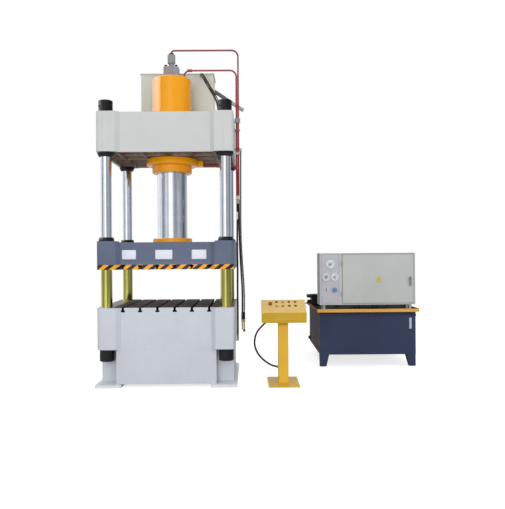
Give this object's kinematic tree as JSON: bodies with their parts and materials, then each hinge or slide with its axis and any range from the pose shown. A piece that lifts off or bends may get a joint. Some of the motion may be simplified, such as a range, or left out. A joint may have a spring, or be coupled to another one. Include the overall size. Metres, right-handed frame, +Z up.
{
  "type": "hydraulic press",
  "caption": "Hydraulic press with guide columns, a sliding beam over a T-slotted bed, a control pedestal and a separate oil-tank power unit with a cabinet.",
  "frame": {"origin": "on the floor below the middle of the press, midway between its columns", "axes": "+X to the right, towards the power unit; +Y away from the operator; +Z up"},
  "size_m": [4.085, 2.721, 4.131],
  "materials": {
    "crosshead_paint": "satin",
    "bed_paint": "satin",
    "slider_paint": "satin",
    "table_steel": "machined",
    "column_chrome": "ground and hard chromed",
    "black_steel": "blackened",
    "cylinder_paint": "gloss",
    "valve_steel": "machined",
    "bronze": "machined",
    "red_paint": "gloss",
    "tank_grey": "satin",
    "rubber": "matt",
    "conduit_grey": "satin",
    "zinc": "zinc plated",
    "yellow_paint": "satin",
    "navy_paint": "satin",
    "rim_paint": "satin",
    "cabinet_paint": "satin",
    "motor_paint": "satin",
    "plastic_black": "matt",
    "plastic_red": "gloss",
    "plastic_green": "gloss",
    "plastic_yellow": "gloss",
    "plastic_blue": "gloss",
    "lens": "gloss",
    "seal": "matt",
    "sight_glass": "clear",
    "gauge_case": "satin",
    "needle": "matt",
    "chrome_trim": "polished"
  },
  "bodies": {
    "press": {"bed_stand": "bed_paint", "bed_frame": "bed_paint", "bed_table": "table_steel", "columns": "column_chrome", "column_nuts": "black_steel", "column_collars": "black_steel", "crosshead": "crosshead_paint", "cylinder_barrel": "cylinder_paint", "cylinder_lock_ring": "cylinder_paint", "cylinder_gland": "cylinder_paint", "ram_seals": "seal", "hydraulic_screws": "black_steel", "prefill_valve": "valve_steel", "top_tank": "tank_grey", "pilot_pipe": "red_paint", "press_pipe": "red_paint", "return_pipe": "red_paint", "pipe_fittings": "zinc", "cable_loom": "rubber", "pilot_hose": "rubber", "press_hose": "rubber", "return_hose": "rubber", "side_conduit": "conduit_grey", "hose_end_fittings": "zinc", "pedestal_stand": "yellow_paint", "console_box": "yellow_paint", "pedestal_conduit": "conduit_grey", "indicator_lamps": "lens", "button_bezels": "chrome_trim", "oil_tank": "navy_paint", "tank_lid": "rim_paint", "breather_cap": "black_steel", "level_gauge": "sight_glass", "cabinet": "cabinet_paint", "gauge_cases": "gauge_case", "motor": "motor_paint", "pump": "motor_paint", "valve_manifold": "black_steel"},
    "slider": {"slider_beam": "slider_paint", "slider_plate": "table_steel", "guide_bushes": "bronze", "wiper_glands": "black_steel", "ram": "column_chrome", "ram_flange": "cylinder_paint", "ram_flange_screws": "black_steel"},
    "stop_button_body": {"stop_button": "plastic_red"},
    "button_yellow_body": {"button_yellow": "plastic_yellow"},
    "button_red_body": {"button_red": "plastic_red"},
    "button_green_body": {"button_green": "plastic_green"},
    "button_dark_body": {"button_dark": "plastic_red"},
    "button_black_body": {"button_black": "plastic_black"},
    "button_start_body": {"button_start": "plastic_green"},
    "cabinet_door_body": {"cabinet_door": "cabinet_paint"},
    "door_handle_body": {"door_handle": "chrome_trim"},
    "gauge_needle_upper_body": {"gauge_needle_upper": "needle"},
    "gauge_needle_left_body": {"gauge_needle_left": "needle"},
    "gauge_needle_right_body": {"gauge_needle_right": "needle"},
    "pressure_knob_body": {"pressure_knob": "plastic_blue"},
    "selector_switch_body": {"selector_switch": "plastic_black"},
    "motor_rotor_body": {"motor_rotor": "zinc"}
  },
  "joints": [
    {"name": "slider_stroke", "type": "slide", "parent": "press", "child": "slider", "axis": [0, 0, 1], "range_m": [0, 0.8]},
    {"name": "stop_button_press", "type": "slide", "parent": "press", "child": "stop_button_body", "axis": [0, 0.4264, -0.9045], "range_m": [0, 0.006], "stiffness_N_per_m": 900},
    {"name": "button_yellow_press", "type": "slide", "parent": "press", "child": "button_yellow_body", "axis": [0, 0.4264, -0.9045], "range_m": [0, 0.004], "stiffness_N_per_m": 900},
    {"name": "button_red_press", "type": "slide", "parent": "press", "child": "button_red_body", "axis": [0, 0.4264, -0.9045], "range_m": [0, 0.004], "stiffness_N_per_m": 900},
    {"name": "button_green_press", "type": "slide", "parent": "press", "child": "button_green_body", "axis": [0, 0.4264, -0.9045], "range_m": [0, 0.004], "stiffness_N_per_m": 900},
    {"name": "button_dark_press", "type": "slide", "parent": "press", "child": "button_dark_body", "axis": [0, 0.4264, -0.9045], "range_m": [0, 0.004], "stiffness_N_per_m": 900},
    {"name": "button_black_press", "type": "slide", "parent": "press", "child": "button_black_body", "axis": [0, 0.4264, -0.9045], "range_m": [0, 0.004], "stiffness_N_per_m": 900},
    {"name": "button_start_press", "type": "slide", "parent": "press", "child": "button_start_body", "axis": [0, 0.4264, -0.9045], "range_m": [0, 0.004], "stiffness_N_per_m": 900},
    {"name": "door_hinge", "type": "hinge", "parent": "press", "child": "cabinet_door_body", "pos_m": [2.226, 0.536, 1.191], "axis": [0, 0, -1], "range_deg": [0, 110]},
    {"name": "door_handle_turn", "type": "hinge", "parent": "cabinet_door_body", "child": "door_handle_body", "pos_m": [3.153, 0.543, 1.206], "axis": [0, 1, 0], "range_deg": [0, 90]},
    {"name": "gauge_needle_upper_turn", "type": "hinge", "parent": "press", "child": "gauge_needle_upper_body", "pos_m": [2.067, 0.53, 1.393], "axis": [0, 1, 0], "range_deg": [0, 270]},
    {"name": "gauge_needle_left_turn", "type": "hinge", "parent": "press", "child": "gauge_needle_left_body", "pos_m": [2.011, 0.53, 1.217], "axis": [0, 1, 0], "range_deg": [0, 270]},
    {"name": "gauge_needle_right_turn", "type": "hinge", "parent": "press", "child": "gauge_needle_right_body", "pos_m": [2.127, 0.53, 1.217], "axis": [0, 1, 0], "range_deg": [0, 270]},
    {"name": "pressure_knob_turn", "type": "hinge", "parent": "press", "child": "pressure_knob_body", "pos_m": [2.123, 0.53, 1.042], "axis": [0, 1, 0], "continuous": true},
    {"name": "selector_turn", "type": "hinge", "parent": "press", "child": "selector_switch_body", "pos_m": [2.025, 0.53, 1.049], "axis": [0, 1, 0], "range_deg": [-45, 45]},
    {"name": "motor_spin", "type": "hinge", "parent": "press", "child": "motor_rotor_body", "pos_m": [2.685, 1.25, 0.963], "axis": [1, 0, 0], "continuous": true}
  ]
}
